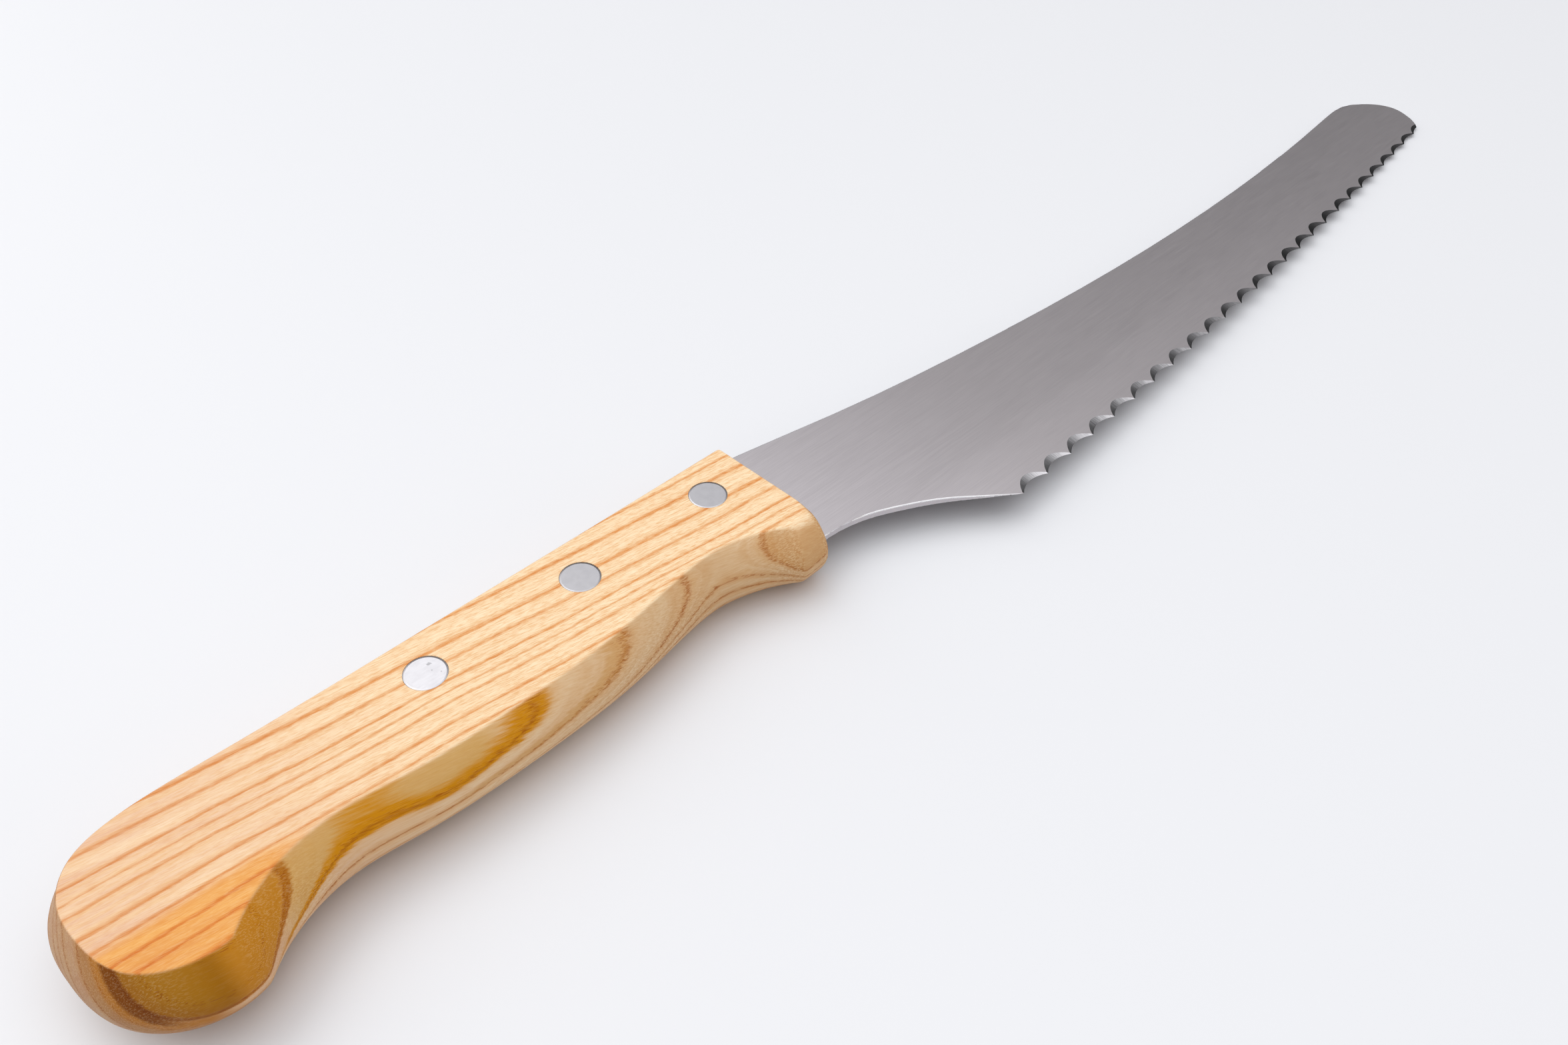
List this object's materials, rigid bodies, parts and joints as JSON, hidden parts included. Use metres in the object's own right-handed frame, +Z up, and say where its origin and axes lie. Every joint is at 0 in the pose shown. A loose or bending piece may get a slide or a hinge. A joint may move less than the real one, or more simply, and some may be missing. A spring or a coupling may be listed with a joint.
{
  "type": "bread knife",
  "caption": "Scalloped bread knife lying on its side: satin steel blade let into a one-piece waisted ash handle and held by flush two-part rivets.",
  "frame": {"origin": "under the middle of the knife's box, on the plane that the handle lies on", "axes": "+X from butt to tip, +Y from cutting edge to spine, +Z up from the side that the knife lies on, square to the blade"},
  "size_m": [0.4208, 0.0523, 0.015],
  "materials": {
    "blade_steel": "satin, fine brushing along the blade",
    "handle_ash": "oiled ash, straight growth lines along the handle",
    "rivet_metal": "sanded flush with the wood"
  },
  "bodies": {
    "root": {"blade": "blade_steel", "handle": "handle_ash", "front_rivet_stud": "rivet_metal", "front_rivet_sleeve": "rivet_metal", "middle_rivet_stud": "rivet_metal", "middle_rivet_sleeve": "rivet_metal", "rear_rivet_stud": "rivet_metal", "rear_rivet_sleeve": "rivet_metal"}
  },
  "joints": []
}
